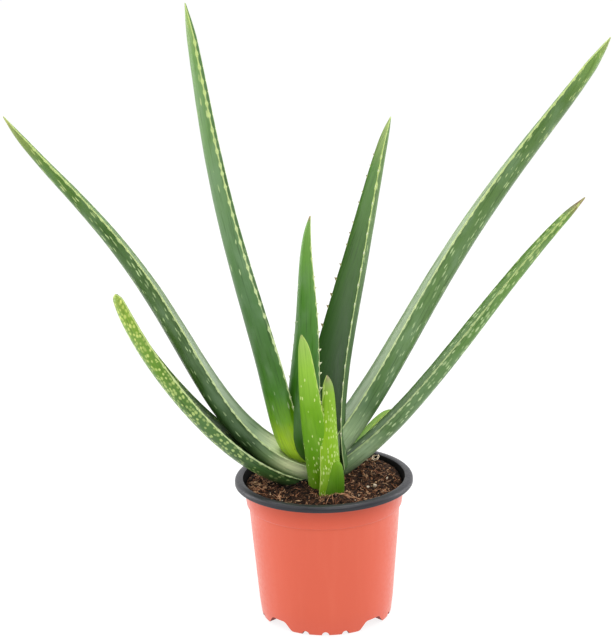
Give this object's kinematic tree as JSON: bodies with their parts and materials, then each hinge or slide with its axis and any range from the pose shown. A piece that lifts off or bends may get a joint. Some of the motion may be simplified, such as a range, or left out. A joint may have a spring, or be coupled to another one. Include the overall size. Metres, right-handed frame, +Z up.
{
  "type": "potted aloe plant",
  "caption": "Young potted aloe: long fleshy toothed leaves fanning from one crown, with small offsets, in peat soil in a dark-rimmed terracotta plastic nursery pot.",
  "frame": {"origin": "middle of the whole object's footprint box, on the ground the pot's feet stand on; the pot's axis is 2.3 mm to +X of it", "axes": "+Z up along the pot's axis, X along the fan of leaves with the low spotted leaf at -X, -Y the front, where the larger offset stands"},
  "size_m": [0.3904, 0.12, 0.4207],
  "materials": {
    "pot_plastic": "satin",
    "peat": "matte",
    "stem_flesh": "matte",
    "aloe_leaf": "satin",
    "aloe_leaf_fresh": "satin"
  },
  "bodies": {
    "root": {"nursery_pot": "pot_plastic", "potting_soil": "peat", "main_stem": "stem_flesh", "front_offset_stem": "stem_flesh", "back_offset_stem": "stem_flesh", "leaf_centre_young": "aloe_leaf", "leaf_right_inner": "aloe_leaf", "leaf_left_tall": "aloe_leaf", "leaf_right_long": "aloe_leaf", "leaf_left_long": "aloe_leaf", "leaf_right_low": "aloe_leaf", "leaf_left_low": "aloe_leaf", "front_offset_leaf_tall": "aloe_leaf_fresh", "front_offset_leaf_short": "aloe_leaf_fresh", "front_offset_sheath": "aloe_leaf_fresh", "back_offset_leaf": "aloe_leaf_fresh"}
  },
  "joints": []
}
